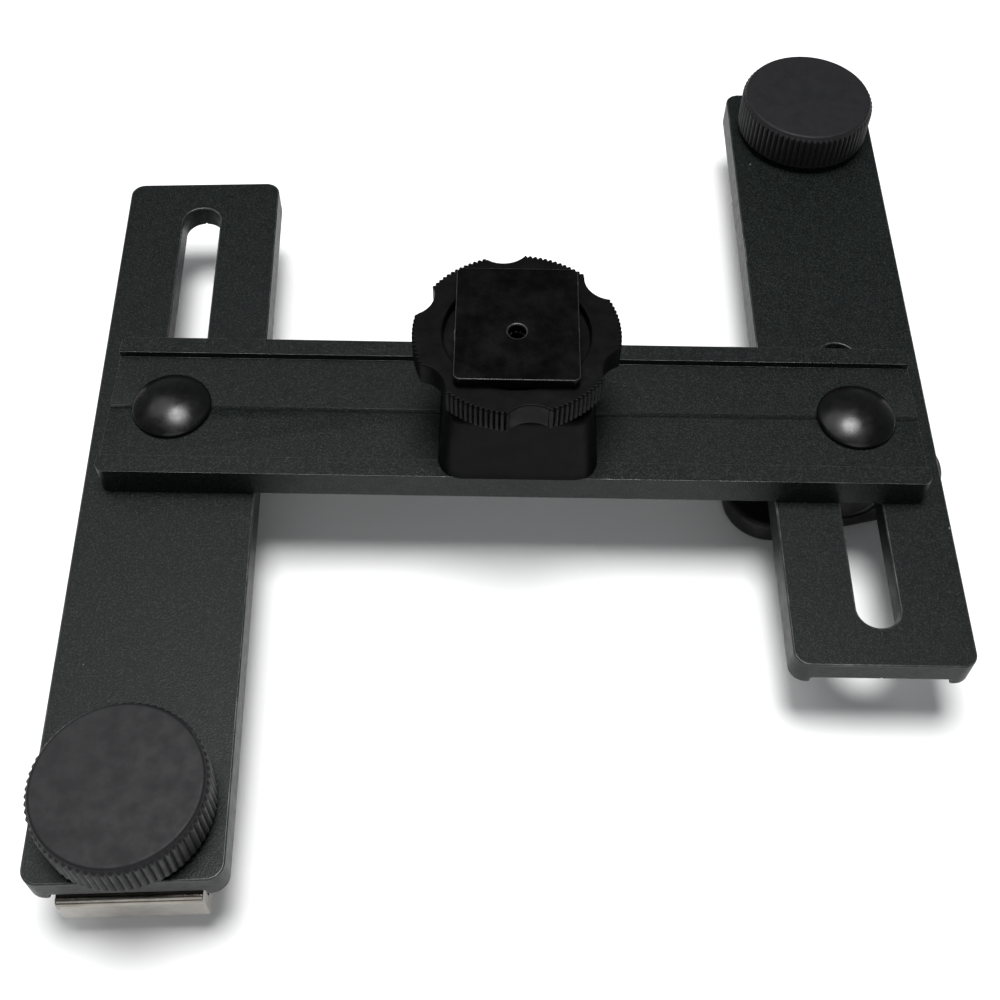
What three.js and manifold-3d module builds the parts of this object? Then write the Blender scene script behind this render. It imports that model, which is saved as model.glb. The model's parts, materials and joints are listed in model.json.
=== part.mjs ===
// Twin flash bracket for macro photography, in millimetres, +Z up.
//
// A grooved aluminium rail carries a camera foot on a pedestal. A slotted arm is clamped under each end
// of the rail, where it swivels and slides on its bolt, and each arm carries a flash shoe on its underside.
// The bracket stands on its two clamp knobs, and the origin is the middle of its footprint.
//
// Heights inside the file count from the rail's underside, and the finished group is moved down onto z = 0.

import * as THREE from 'three';
import { mergeVertices } from 'three/addons/utils/BufferGeometryUtils.js';
import Module from 'manifold-3d';

const wasm = await Module();
wasm.setup();

// ---------------------------------------------------------------- driving dimensions

const DEGREE = Math.PI / 180;
const FACE_GAP = 0.15; // between faces that rest on each other
const SWIVEL_GAP = 0.25; // between the rail and the arms that turn under it
const BORE_GAP = 0.1; // radial, between a screw and what turns round it

// One extrusion serves the rail and both arms: a flat bar with a raised lip along each edge of one face.
const BAR = { width: 27.5, thickness: 5.4, web: 4.15, lip: 3.2, bevel: 0.3 };
const RAIL_LENGTH = 131.5;
const GROOVE = { width: 0.9, depth: 0.45 };
const RAIL_CORNER = 1.5;
const ARM_CORNER = 2.5;

const BOLT_SPACING = 111.3;
const BOLT = { domeRadius: 6.4, domeHeight: 2.7, rim: 0.5, neck: 6, shankRadius: 2.95, length: 15.3 };
const SLOT = { width: 6.7, length: 56, fromEnd: 6.5 };

// How each arm stands on its bolt: the offset of its middle along its own length, its turn from square to
// the rail, which end its slot is at, and the turns of its flash shoe and its clamp knob.
const SIDES = [
  {
    name: 'left', boltX: -BOLT_SPACING / 2, armLength: 133.6, armMiddle: -10.2, armTurn: 2.6 * DEGREE,
    slotSide: 1, shoeTurn: 0, clampTurn: 80 * DEGREE,
  },
  {
    name: 'right', boltX: BOLT_SPACING / 2, armLength: 127.4, armMiddle: 20.9, armTurn: 0,
    slotSide: -1, shoeTurn: 83 * DEGREE, clampTurn: 14 * DEGREE,
  },
];

const GUIDE = { length: 18, thickness: 1.5 };
const CLAMP_WASHER = { radius: 8.5, thickness: 1.2 };
const CLAMP_KNOB = { length: 39, width: 15.6, barHeight: 5.8, hubRadius: 8.2, hubHeight: 4.7 };
const CLAMP_INSERT = { radius: 4.5, length: 8 };

const SHOE_KNOB = { radius: 12.35, height: 7.4, bevel: 0.7, ridges: 70, ridgeDepth: 0.35, fromArmEnd: 10.5 };
const KNOB_WASHER = { radius: 9, thickness: 1 };
const KNOB_SCREW = { radius: 2.9, headRadius: 5, headHeight: 3, headFloor: 2 };
const SHOE = {
  length: 20.3, plate: 2.2, wall: 2.05, inside: 18.7, channel: 2.2, lipReach: 3.1, lipHeight: 2.4, round: 1,
};
const SHOE_NUT_RADIUS = 4.5;
const SPACER_LENGTH = 20;

const PEDESTAL = { width: 25.1, depth: 28.6, offset: 0.55, top: 18.5, topScale: 0.9, corner: 4 };
const PEDESTAL_SCREW = { spacing: 15, radius: 1.5, headRadius: 2.9, headDepth: 1.7, length: 9 };
const SCREW_RECESS = 0.1; // the screw heads stand this far inside the rail's underside
const STEM = { radius: 5, bottom: 8, neckRadius: 6, neckHeight: 0.4, flat: 4.3 };
const WHEEL = { radius: 15.9, bottom: 20, top: 24.3, bevel: 0.6, ridges: 120, ridgeDepth: 0.3 };
const SCALLOP = { count: 6, radius: 4.4, fromAxis: 18.6, turn: 37 * DEGREE };
const WHEEL_RECESS = { radius: 11.2, depth: 1.6 };
const WHEEL_INSERT = { radius: 7, height: 2.5 };
const LOCK_WASHER = { radius: 9.6, thickness: 0.8 };
const FOOT = {
  width: 18.6, depth: 22, thickness: 1.8, corner: 1, hole: 1.35, holeY: -1.7, countersink: 0.45,
};

// ---------------------------------------------------------------- heights worked out from them

const ARM_TOP = -SWIVEL_GAP;
const WEB_BOTTOM = ARM_TOP - BAR.web;
const LIP_BOTTOM = ARM_TOP - BAR.thickness;
const GUIDE_TOP = WEB_BOTTOM - FACE_GAP;
const WASHER_TOP = GUIDE_TOP - GUIDE.thickness - FACE_GAP;
const CLAMP_KNOB_TOP = WASHER_TOP - CLAMP_WASHER.thickness - FACE_GAP;
const SHOE_TOP = LIP_BOTTOM - FACE_GAP;
const FOOT_BOTTOM = WHEEL.top + 0.2;

// ---------------------------------------------------------------- materials

function finish(color, roughness, metalness) {
  return new THREE.MeshStandardMaterial({ color, roughness, metalness });
}

const ANODISED = finish(0x2a2f2d, 0.5, 0.7);
const BLACK_PAINT = finish(0x1b1b1d, 0.45, 0.3);
const BLACK_PLASTIC = finish(0x262627, 0.55, 0);
const GLOSS_BLACK = finish(0x101113, 0.2, 0.3);
const CHROME = finish(0xd8d6d2, 0.12, 1);
const ZINC = finish(0xa9abad, 0.35, 1);
const BRASS = finish(0xb8923f, 0.35, 1);

// ---------------------------------------------------------------- solids

function solidOf(geometry) {
  const bare = geometry.clone();
  bare.deleteAttribute('normal');
  bare.deleteAttribute('uv');
  const merged = mergeVertices(bare, 1e-5);
  const vertProperties = new Float32Array(merged.attributes.position.array);
  const triVerts = new Uint32Array(merged.index.array);
  return new wasm.Manifold(new wasm.Mesh({ numProp: 3, vertProperties, triVerts }));
}

function geometryOf(solid) {
  const mesh = solid.getMesh();
  const geometry = new THREE.BufferGeometry();
  geometry.setAttribute('position', new THREE.BufferAttribute(mesh.vertProperties, 3));
  geometry.setIndex(new THREE.BufferAttribute(mesh.triVerts, 1));
  geometry.computeVertexNormals();
  return geometry;
}

function cut(base, ...tools) {
  return geometryOf(tools.reduce((solid, tool) => solid.subtract(solidOf(tool)), solidOf(base)));
}

function join(base, ...others) {
  return geometryOf(others.reduce((solid, other) => solid.add(solidOf(other)), solidOf(base)));
}

function common(first, second) {
  return geometryOf(solidOf(first).intersect(solidOf(second)));
}

// A shape in the XY plane, raised from one height to another.
function slab(shape, bottom, top, curveSegments = 6) {
  const settings = { depth: top - bottom, bevelEnabled: false, curveSegments };
  return new THREE.ExtrudeGeometry(shape, settings).translate(0, 0, bottom);
}

// A profile of [radius, height] points, turned about Z. The points run upwards, from the axis to the axis.
function turned(points, segments = 32) {
  const profile = points.map(([radius, height]) => new THREE.Vector2(radius, height));
  return new THREE.LatheGeometry(profile, segments).rotateX(Math.PI / 2);
}

function rod(radius, bottom, top, segments = 24) {
  return turned([[0, bottom], [radius, bottom], [radius, top], [0, top]], segments);
}

function box(width, depth, bottom, top) {
  return new THREE.BoxGeometry(width, depth, top - bottom).translate(0, 0, (bottom + top) / 2);
}

function roundedRectangle(width, depth, radius) {
  const x = width / 2;
  const y = depth / 2;
  const shape = new THREE.Shape();
  shape.moveTo(-x + radius, -y);
  shape.lineTo(x - radius, -y);
  shape.absarc(x - radius, -y + radius, radius, -Math.PI / 2, 0);
  shape.lineTo(x, y - radius);
  shape.absarc(x - radius, y - radius, radius, 0, Math.PI / 2);
  shape.lineTo(-x + radius, y);
  shape.absarc(-x + radius, y - radius, radius, Math.PI / 2, Math.PI);
  shape.lineTo(-x, -y + radius);
  shape.absarc(-x + radius, -y + radius, radius, Math.PI, Math.PI * 1.5);
  return shape;
}

// A disc whose edge has fine straight ridges: each has one point on its crest and one in its root.
function ridgedDisc(radius, ridgeDepth, ridges, bottom, top) {
  const points = [];
  for (let i = 0; i < ridges * 2; i += 1) {
    const angle = (i / (ridges * 2)) * Math.PI * 2;
    const r = i % 2 === 0 ? radius : radius - ridgeDepth;
    points.push(new THREE.Vector2(r * Math.cos(angle), r * Math.sin(angle)));
  }
  return slab(new THREE.Shape(points), bottom, top);
}

// ---------------------------------------------------------------- the extruded bar

function barSection() {
  const half = BAR.width / 2;
  const inner = half - BAR.lip;
  const shape = new THREE.Shape();
  shape.moveTo(-half + BAR.bevel, 0);
  shape.lineTo(half - BAR.bevel, 0);
  shape.lineTo(half, BAR.bevel);
  shape.lineTo(half, BAR.thickness - BAR.bevel);
  shape.lineTo(half - BAR.bevel, BAR.thickness);
  shape.lineTo(inner, BAR.thickness);
  shape.lineTo(inner, BAR.web);
  shape.lineTo(GROOVE.width / 2, BAR.web);
  shape.lineTo(0, BAR.web - GROOVE.depth);
  shape.lineTo(-GROOVE.width / 2, BAR.web);
  shape.lineTo(-inner, BAR.web);
  shape.lineTo(-inner, BAR.thickness);
  shape.lineTo(-half + BAR.bevel, BAR.thickness);
  shape.lineTo(-half, BAR.thickness - BAR.bevel);
  shape.lineTo(-half, BAR.bevel);
  return shape;
}

// The bar lies along Y with its smooth face down, and its corners are rounded in plan.
function bar(length, corner) {
  const along = slab(barSection(), -length / 2, length / 2).rotateX(Math.PI / 2);
  const plan = slab(roundedRectangle(BAR.width + 0.02, length, corner), -1, BAR.thickness + 1, 4);
  return common(along, plan);
}

// ---------------------------------------------------------------- rail and camera foot

function railGeometry() {
  const holes = [];
  for (const side of SIDES) {
    holes.push(box(BOLT.neck + 0.2, BOLT.neck + 0.2, -1, BAR.thickness).translate(side.boltX, 0, 0));
  }
  for (const x of [-PEDESTAL_SCREW.spacing / 2, PEDESTAL_SCREW.spacing / 2]) {
    const sink = turned([
      [0, -1], [PEDESTAL_SCREW.headRadius + BORE_GAP, -1],
      [PEDESTAL_SCREW.headRadius + BORE_GAP, SCREW_RECESS],
      [PEDESTAL_SCREW.radius + BORE_GAP, PEDESTAL_SCREW.headDepth + BORE_GAP],
      [PEDESTAL_SCREW.radius + BORE_GAP, BAR.thickness], [0, BAR.thickness],
    ], 16);
    holes.push(sink.translate(x, 0, 0));
  }
  return cut(bar(RAIL_LENGTH, RAIL_CORNER).rotateZ(Math.PI / 2), ...holes);
}

// A countersunk screw that goes up into the pedestal, its head just inside the rail's underside.
function pedestalScrewGeometry() {
  const { radius, headRadius, headDepth, length } = PEDESTAL_SCREW;
  return turned([
    [0, SCREW_RECESS], [headRadius, SCREW_RECESS], [radius, headDepth], [radius, length], [0, length],
  ], 16);
}

function pedestalGeometry() {
  const bottom = BAR.thickness + 0.05;
  const outline = roundedRectangle(PEDESTAL.width, PEDESTAL.depth, PEDESTAL.corner);
  const height = PEDESTAL.top - bottom;
  const settings = { depth: height, steps: 3, bevelEnabled: false, curveSegments: 5 };
  const body = new THREE.ExtrudeGeometry(outline, settings);
  // The sides draw in quickly just above the rail and more slowly towards the top.
  const position = body.attributes.position;
  for (let i = 0; i < position.count; i += 1) {
    const rise = position.getZ(i) / height;
    const scale = 1 - (1 - PEDESTAL.topScale) * Math.sqrt(rise);
    position.setXYZ(i, position.getX(i) * scale, position.getY(i) * scale, position.getZ(i));
  }
  body.translate(PEDESTAL.offset, 0, bottom);
  const channel = BAR.width - 2 * BAR.lip;
  const tongue = box(PEDESTAL.width - 2, channel - 0.2, BAR.web + 0.05, bottom + 1);
  const stemHole = rod(STEM.radius + 0.05, STEM.bottom - 0.05, PEDESTAL.top + 1);
  const screwHoles = [-PEDESTAL_SCREW.spacing / 2, PEDESTAL_SCREW.spacing / 2].map((x) =>
    rod(PEDESTAL_SCREW.radius + 0.05, 0, PEDESTAL_SCREW.length + 0.1, 16).translate(x, 0, 0));
  return cut(join(body, tongue), stemHole, ...screwHoles);
}

function stemGeometry() {
  const neckBottom = PEDESTAL.top + 0.05;
  const neckTop = neckBottom + STEM.neckHeight;
  const top = FOOT_BOTTOM - 0.05;
  const post = turned([
    [0, STEM.bottom], [STEM.radius, STEM.bottom], [STEM.radius, neckBottom], [STEM.neckRadius, neckBottom],
    [STEM.neckRadius, neckTop], [STEM.radius, neckTop], [STEM.radius, top], [0, top],
  ]);
  // One flat keeps the washer under the camera's shoe from turning with the wheel.
  const key = box(4, 20, WHEEL.bottom - 1, top + 1).translate(STEM.flat + 2, 0, 0);
  return cut(post, key, rod(FOOT.hole, top - 2, top + 1, 20).translate(0, FOOT.holeY, 0));
}

function wheelGeometry() {
  const { radius, bottom, top, bevel } = WHEEL;
  const inner = radius - WHEEL.ridgeDepth - 0.05;
  const body = turned([
    [0, bottom], [inner - bevel, bottom], [inner, bottom + bevel],
    [inner, top - bevel], [inner - 2, top], [0, top],
  ], 48);
  const ridged = ridgedDisc(radius, WHEEL.ridgeDepth, WHEEL.ridges, bottom + bevel, top - bevel);
  const floor = top - WHEEL_RECESS.depth;
  const recess = rod(WHEEL_RECESS.radius, floor, top + 1, 36);
  const bore = rod(STEM.radius + BORE_GAP, bottom - 1, top, 28);
  const insertHole = rod(WHEEL_INSERT.radius + 0.05, bottom + 0.05, floor + 0.5, 28);
  const scallops = [];
  for (let i = 0; i < SCALLOP.count; i += 1) {
    const angle = SCALLOP.turn + (i / SCALLOP.count) * Math.PI * 2;
    const x = SCALLOP.fromAxis * Math.cos(angle);
    const y = SCALLOP.fromAxis * Math.sin(angle);
    scallops.push(rod(SCALLOP.radius, bottom - 1, top + 1, 28).translate(x, y, 0));
  }
  return cut(join(body, ridged), recess, bore, insertHole, ...scallops);
}

function ringGeometry(outer, inner, bottom, top, segments = 28) {
  return cut(rod(outer, bottom, top, segments), rod(inner, bottom - 1, top + 1, segments));
}

function lockWasherGeometry() {
  const bottom = WHEEL.top - WHEEL_RECESS.depth + FACE_GAP;
  const top = bottom + LOCK_WASHER.thickness;
  const ring = ringGeometry(LOCK_WASHER.radius, STEM.radius + BORE_GAP, bottom, top);
  // The straight side of the bore runs on the stem's flat.
  const reach = STEM.radius + 1 - (STEM.flat + BORE_GAP);
  const side = box(reach, 6, bottom, top).translate(STEM.flat + BORE_GAP + reach / 2, 0, 0);
  return join(ring, side);
}

function footGeometry() {
  const top = FOOT_BOTTOM + FOOT.thickness;
  const plate = slab(roundedRectangle(FOOT.width, FOOT.depth, FOOT.corner), FOOT_BOTTOM, top);
  const hole = turned([
    [0, FOOT_BOTTOM - 1], [FOOT.hole, FOOT_BOTTOM - 1], [FOOT.hole, top - FOOT.countersink],
    [FOOT.hole + FOOT.countersink * 2, top + FOOT.countersink], [0, top + FOOT.countersink],
  ], 24);
  return cut(plate, hole.translate(0, FOOT.holeY, 0));
}

// ---------------------------------------------------------------- arms and their clamps

function boltGeometry() {
  const seat = BAR.web + 0.1;
  const { domeRadius, domeHeight, rim } = BOLT;
  const profile = [[0, seat], [domeRadius, seat], [domeRadius, seat + rim]];
  // Above the rim the head is an arc of a sphere.
  const rise = domeHeight - rim;
  const sphere = (domeRadius * domeRadius + rise * rise) / (2 * rise);
  const steps = 5;
  for (let i = 1; i < steps; i += 1) {
    const r = domeRadius * (1 - i / steps);
    profile.push([r, seat + domeHeight - sphere + Math.sqrt(sphere * sphere - r * r)]);
  }
  profile.push([0, seat + domeHeight]);
  const neck = box(BOLT.neck, BOLT.neck, 0.1, seat + 0.3);
  return join(turned(profile), neck, rod(BOLT.shankRadius, -BOLT.length, 0.5));
}

function slotShape() {
  return roundedRectangle(SLOT.width, SLOT.length, SLOT.width / 2 - 0.01);
}

function knobHoleY(side) {
  return side.armMiddle - side.slotSide * (side.armLength / 2 - SHOE_KNOB.fromArmEnd);
}

// The arm is the bar turned over, so its smooth face is up and its lips point down.
function armGeometry(side) {
  const slotY = side.armMiddle + side.slotSide * (side.armLength / 2 - SLOT.fromEnd - SLOT.length / 2);
  const blank = bar(side.armLength, ARM_CORNER).rotateY(Math.PI).translate(0, side.armMiddle, 0);
  const slot = slab(slotShape(), -BAR.thickness - 1, 1).translate(0, slotY, 0);
  const screwHole = rod(KNOB_SCREW.radius + BORE_GAP, -BAR.thickness - 1, 1);
  return cut(blank, slot, screwHole.translate(0, knobHoleY(side), 0));
}

// A plate that fits between the lips of an arm's underside, with a hole for a bolt or a screw.
function channelPlate(length, bottom, top) {
  const channel = BAR.width - 2 * BAR.lip;
  const plate = box(channel - 0.5, length, bottom, top);
  return cut(plate, rod(BOLT.shankRadius + BORE_GAP, bottom - 1, top + 1));
}

function clampKnobGeometry() {
  const { length, width, barHeight, hubRadius, hubHeight } = CLAMP_KNOB;
  const barTop = CLAMP_KNOB_TOP - hubHeight;
  const grip = slab(roundedRectangle(length, width, width / 2 - 0.01), barTop - barHeight, barTop, 12);
  const hub = rod(hubRadius, barTop - 1, CLAMP_KNOB_TOP);
  const socketBottom = CLAMP_KNOB_TOP - CLAMP_INSERT.length - 0.1;
  const socket = rod(CLAMP_INSERT.radius + 0.05, socketBottom, CLAMP_KNOB_TOP + 1);
  return cut(join(grip, hub), socket);
}

function clampInsertGeometry() {
  const top = CLAMP_KNOB_TOP - FACE_GAP;
  const bottom = top - CLAMP_INSERT.length + 0.2;
  return ringGeometry(CLAMP_INSERT.radius, BOLT.shankRadius + BORE_GAP, bottom, top, 24);
}

// ---------------------------------------------------------------- flash shoe and its knob

// Heights here count from the arm's upper face.
const KNOB_BASE = FACE_GAP + KNOB_WASHER.thickness + FACE_GAP;
const SHOE_FACE = SHOE_TOP - ARM_TOP;
const SCREW_BOTTOM = SHOE_FACE - SHOE.plate + 0.1;

function shoeGeometry() {
  const inner = SHOE.inside / 2;
  const outer = inner + SHOE.wall;
  const mouth = inner - SHOE.lipReach;
  const ceiling = -SHOE.plate;
  const lipTop = ceiling - SHOE.channel;
  const bottom = lipTop - SHOE.lipHeight;
  const roll = SHOE.lipHeight / 2;
  const { round } = SHOE;
  const shape = new THREE.Shape();
  shape.moveTo(-outer + round, 0);
  shape.absarc(-outer + round, -round, round, Math.PI / 2, Math.PI);
  shape.lineTo(-outer, bottom + roll);
  shape.absarc(-outer + roll, bottom + roll, roll, Math.PI, Math.PI * 1.5);
  shape.lineTo(-mouth - roll, bottom);
  shape.absarc(-mouth - roll, bottom + roll, roll, -Math.PI / 2, Math.PI / 2);
  shape.lineTo(-inner, lipTop);
  shape.lineTo(-inner, ceiling);
  shape.lineTo(inner, ceiling);
  shape.lineTo(inner, lipTop);
  shape.lineTo(mouth + roll, lipTop);
  shape.absarc(mouth + roll, bottom + roll, roll, Math.PI / 2, Math.PI * 1.5);
  shape.lineTo(outer - roll, bottom);
  shape.absarc(outer - roll, bottom + roll, roll, -Math.PI / 2, 0);
  shape.lineTo(outer, -round);
  shape.absarc(outer - round, -round, round, 0, Math.PI / 2);
  // The section lies across the arm's length, and the channel runs across the arm.
  const channel = slab(shape, -SHOE.length / 2, SHOE.length / 2, 4);
  channel.rotateX(Math.PI / 2).rotateZ(Math.PI / 2);
  const nutHole = rod(SHOE_NUT_RADIUS + 0.05, -SHOE.plate - 1, 1);
  return cut(channel, nutHole).translate(0, 0, SHOE_FACE);
}

function shoeNutGeometry() {
  const top = SHOE_FACE - 0.05;
  return ringGeometry(SHOE_NUT_RADIUS, KNOB_SCREW.radius + BORE_GAP, top - SHOE.plate + 0.05, top, 24);
}

function shoeKnobGeometry() {
  const { radius, height, bevel, ridges, ridgeDepth } = SHOE_KNOB;
  const top = KNOB_BASE + height;
  const inner = radius - ridgeDepth - 0.05;
  const body = turned([
    [0, KNOB_BASE], [inner - bevel, KNOB_BASE], [inner, KNOB_BASE + bevel], [inner, top - bevel],
    [inner - bevel * 0.3, top - bevel * 0.3], [inner - bevel, top], [0, top],
  ], 44);
  const ridged = ridgedDisc(radius, ridgeDepth, ridges, KNOB_BASE + bevel, top - bevel);
  const stud = rod(KNOB_SCREW.radius + 0.05, KNOB_BASE - 1, KNOB_BASE + height - 2);
  const headBottom = KNOB_BASE + KNOB_SCREW.headFloor;
  const socketTop = headBottom + KNOB_SCREW.headHeight + 0.05;
  const head = rod(KNOB_SCREW.headRadius + 0.05, headBottom - 0.05, socketTop, 6);
  return cut(join(body, ridged), stud, head);
}

// The stud's hexagonal head is moulded into the knob.
function knobScrewGeometry() {
  const headBottom = KNOB_BASE + KNOB_SCREW.headFloor;
  const head = rod(KNOB_SCREW.headRadius, headBottom, headBottom + KNOB_SCREW.headHeight, 6);
  return join(rod(KNOB_SCREW.radius, SCREW_BOTTOM, headBottom + 1), head);
}

// ---------------------------------------------------------------- assembly

function piece(name, geometry, material) {
  const mesh = new THREE.Mesh(geometry, material);
  mesh.name = name;
  return mesh;
}

function cameraFoot() {
  const group = new THREE.Group();
  const bottom = WHEEL.bottom + 0.1;
  const top = bottom + WHEEL_INSERT.height;
  const insert = ringGeometry(WHEEL_INSERT.radius, STEM.radius + BORE_GAP, bottom, top);
  group.add(piece('pedestal', pedestalGeometry(), BLACK_PAINT));
  group.add(piece('foot_stem', stemGeometry(), ZINC));
  group.add(piece('lock_wheel', wheelGeometry(), BLACK_PLASTIC));
  group.add(piece('wheel_insert', insert, BRASS));
  group.add(piece('lock_washer', lockWasherGeometry(), ZINC));
  group.add(piece('hot_shoe_foot', footGeometry(), BLACK_PAINT));
  ['left', 'right'].forEach((name, i) => {
    const screw = piece(`${name}_pedestal_screw`, pedestalScrewGeometry(), ZINC);
    screw.position.x = (i - 0.5) * PEDESTAL_SCREW.spacing;
    group.add(screw);
  });
  return group;
}

// What hangs on a bolt below its arm, and stays put when the arm turns.
function clamp(side) {
  const group = new THREE.Group();
  group.position.x = side.boltX;
  const washerBottom = WASHER_TOP - CLAMP_WASHER.thickness;
  const washer = ringGeometry(CLAMP_WASHER.radius, BOLT.shankRadius + BORE_GAP, washerBottom, WASHER_TOP);
  const knob = piece(`${side.name}_clamp_knob`, clampKnobGeometry(), BLACK_PLASTIC);
  knob.rotation.z = side.clampTurn;
  group.add(piece(`${side.name}_bolt`, boltGeometry(), GLOSS_BLACK));
  group.add(piece(`${side.name}_clamp_washer`, washer, ZINC));
  group.add(piece(`${side.name}_clamp_insert`, clampInsertGeometry(), BRASS));
  group.add(knob);
  return group;
}

function shoeAssembly(side) {
  const group = new THREE.Group();
  group.position.y = knobHoleY(side);
  const washerTop = FACE_GAP + KNOB_WASHER.thickness;
  const washer = ringGeometry(KNOB_WASHER.radius, KNOB_SCREW.radius + BORE_GAP, FACE_GAP, washerTop);
  const spacer = channelPlate(SPACER_LENGTH, SHOE_FACE + FACE_GAP, -BAR.web - FACE_GAP);
  group.add(piece(`${side.name}_shoe_knob`, shoeKnobGeometry(), BLACK_PLASTIC));
  group.add(piece(`${side.name}_knob_screw`, knobScrewGeometry(), ZINC));
  group.add(piece(`${side.name}_knob_washer`, washer, ZINC));
  group.add(piece(`${side.name}_shoe_spacer`, spacer, BLACK_PLASTIC));
  const shoe = piece(`${side.name}_shoe`, shoeGeometry(), CHROME);
  shoe.rotation.z = side.shoeTurn;
  group.add(shoe);
  group.add(piece(`${side.name}_shoe_nut`, shoeNutGeometry(), ZINC));
  return group;
}

function arm(side) {
  const group = new THREE.Group();
  group.position.set(side.boltX, 0, ARM_TOP);
  group.rotation.z = side.armTurn;
  const guideTop = GUIDE_TOP - ARM_TOP;
  const guide = channelPlate(GUIDE.length, guideTop - GUIDE.thickness, guideTop);
  group.add(piece(`${side.name}_arm`, armGeometry(side), ANODISED));
  group.add(piece(`${side.name}_arm_guide`, guide, ZINC));
  group.add(shoeAssembly(side));
  return group;
}

const bracket = new THREE.Group();
bracket.add(piece('rail', railGeometry(), ANODISED));
bracket.add(cameraFoot());
for (const side of SIDES) {
  bracket.add(clamp(side));
  bracket.add(arm(side));
}

// The origin is the middle of the footprint, on the surface that the bracket stands on.
const bounds = new THREE.Box3().setFromObject(bracket, true);
const middle = bounds.getCenter(new THREE.Vector3());
bracket.position.set(-middle.x, -middle.y, -bounds.min.z);

const group = new THREE.Group();
group.add(bracket);

export default group;
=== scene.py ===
"""Twin flash bracket: its looks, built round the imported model. Metres, +Z up.

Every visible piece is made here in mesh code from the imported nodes' places, and rides on their bodies.
"""

import json
import math

import bmesh
import bpy
from mathutils import Matrix, Vector


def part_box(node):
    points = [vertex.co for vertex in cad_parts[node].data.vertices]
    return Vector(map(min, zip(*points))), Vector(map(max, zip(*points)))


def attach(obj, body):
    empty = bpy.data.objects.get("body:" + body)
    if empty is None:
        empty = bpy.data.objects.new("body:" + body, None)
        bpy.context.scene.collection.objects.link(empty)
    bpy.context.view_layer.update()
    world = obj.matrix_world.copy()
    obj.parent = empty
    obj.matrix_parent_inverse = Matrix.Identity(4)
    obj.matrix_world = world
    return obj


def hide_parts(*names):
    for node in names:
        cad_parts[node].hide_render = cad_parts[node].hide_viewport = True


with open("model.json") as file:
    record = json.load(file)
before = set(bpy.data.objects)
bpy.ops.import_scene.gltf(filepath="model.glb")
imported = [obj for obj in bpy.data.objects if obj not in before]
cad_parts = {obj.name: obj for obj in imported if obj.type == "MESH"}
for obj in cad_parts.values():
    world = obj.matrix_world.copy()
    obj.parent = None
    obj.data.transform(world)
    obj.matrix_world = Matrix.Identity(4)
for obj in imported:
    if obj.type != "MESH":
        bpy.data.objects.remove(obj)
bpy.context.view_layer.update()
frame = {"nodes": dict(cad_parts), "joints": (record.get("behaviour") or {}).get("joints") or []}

MM = 0.001
TAU = 2 * math.pi
SIDES = ("left", "right")

# ---------------------------------------------------------------- dimensions that the boxes don't give

RUNNING_GAP = 0.1 * MM  # between pieces that move on each other
SEAT_GAP = 0.05 * MM  # between pieces that rest on each other
PAST = 1 * MM  # how far a cutting tool runs past what it cuts

WEB = 4.15 * MM  # thickness of a bar between its lips
LIP = 3.2 * MM
GROOVE_WIDTH = 0.9 * MM
GROOVE_DEPTH = 0.45 * MM
BAR_EDGE = 0.28 * MM
RAIL_CORNER = 1.5 * MM
ARM_CORNER = 2.5 * MM
SLOT_WIDTH = 6.7 * MM
SLOT_LENGTH = 56 * MM
SLOT_FROM_END = 6.5 * MM
SLOT_SIDE = {"left": 1, "right": -1}  # the slot is at the arm's back end or its front end

BOLT_NECK = 6 * MM
BOLT_NECK_LENGTH = 4 * MM
BOLT_RADIUS = 2.95 * MM
BOLT_RIM = 0.55 * MM
M6_PITCH = 1.0 * MM

PEDESTAL_DRAW_IN = 0.1  # how much narrower the block is at its top
PEDESTAL_FOOT_EDGE = 0.25 * MM
PEDESTAL_TOP_EDGE = 0.9 * MM
BLOCK_SCREW_RADIUS = 1.5 * MM
BLOCK_SCREW_PITCH = 0.6 * MM
STEM_RADIUS = 5 * MM
STEM_NECK_RADIUS = 6 * MM
STEM_NECK_HEIGHT = 0.4 * MM
STEM_FLAT = 4.3 * MM  # from the axis to the flat
STEM_PITCH = 1.25 * MM
FOOT_HOLE = 1.35 * MM
FOOT_HOLE_Y = -1.7 * MM  # from the middle of the foot
FOOT_HOLE_DEPTH = 12 * MM

WHEEL_RIDGES = 120
WHEEL_RIDGE_DEPTH = 0.42 * MM
SCALLOPS = 6
SCALLOP_RADIUS = 4.4 * MM
SCALLOP_FROM_AXIS = 18.6 * MM
SCALLOP_TURN = math.radians(37)
WHEEL_RECESS_RADIUS = 11.2 * MM
WHEEL_RECESS_DEPTH = 1.6 * MM

CLAMP_WIDTH = 15.6 * MM
CLAMP_LENGTH = 39 * MM
CLAMP_HUB_RADIUS = 8.2 * MM
CLAMP_HUB_HEIGHT = 4.7 * MM
CLAMP_SOCKET_RADIUS = 4.55 * MM
CLAMP_SOCKET_DEPTH = 8.1 * MM
CLAMP_TURN = {"left": math.radians(80), "right": math.radians(14)}

KNOB_RIDGES = 70
KNOB_RIDGE_DEPTH = 0.42 * MM
SCREW_RADIUS = 2.9 * MM
SCREW_HEAD_RADIUS = 5 * MM
SCREW_HEAD_HEIGHT = 3 * MM

SHOE_LENGTH = 20.3 * MM
SHOE_TURN = {"left": 0.0, "right": math.radians(83)}
SHOE_INNER = 18.7 / 2 * MM
SHOE_WALL = 2.05 * MM
SHOE_PLATE = 2.2 * MM
SHOE_CHANNEL = 2.2 * MM
SHOE_LIP_REACH = 3.1 * MM
SHOE_ROUND = 1 * MM
SHOE_HOLE = 4.55 * MM


# ---------------------------------------------------------------- places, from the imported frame


def middle(node):
    low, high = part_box(node)
    return (low + high) / 2


def bottom_of(node):
    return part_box(node)[0].z


def top_of(node):
    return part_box(node)[1].z


def joint(name):
    return next(j for j in frame["joints"] if j["name"] == name)


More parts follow.
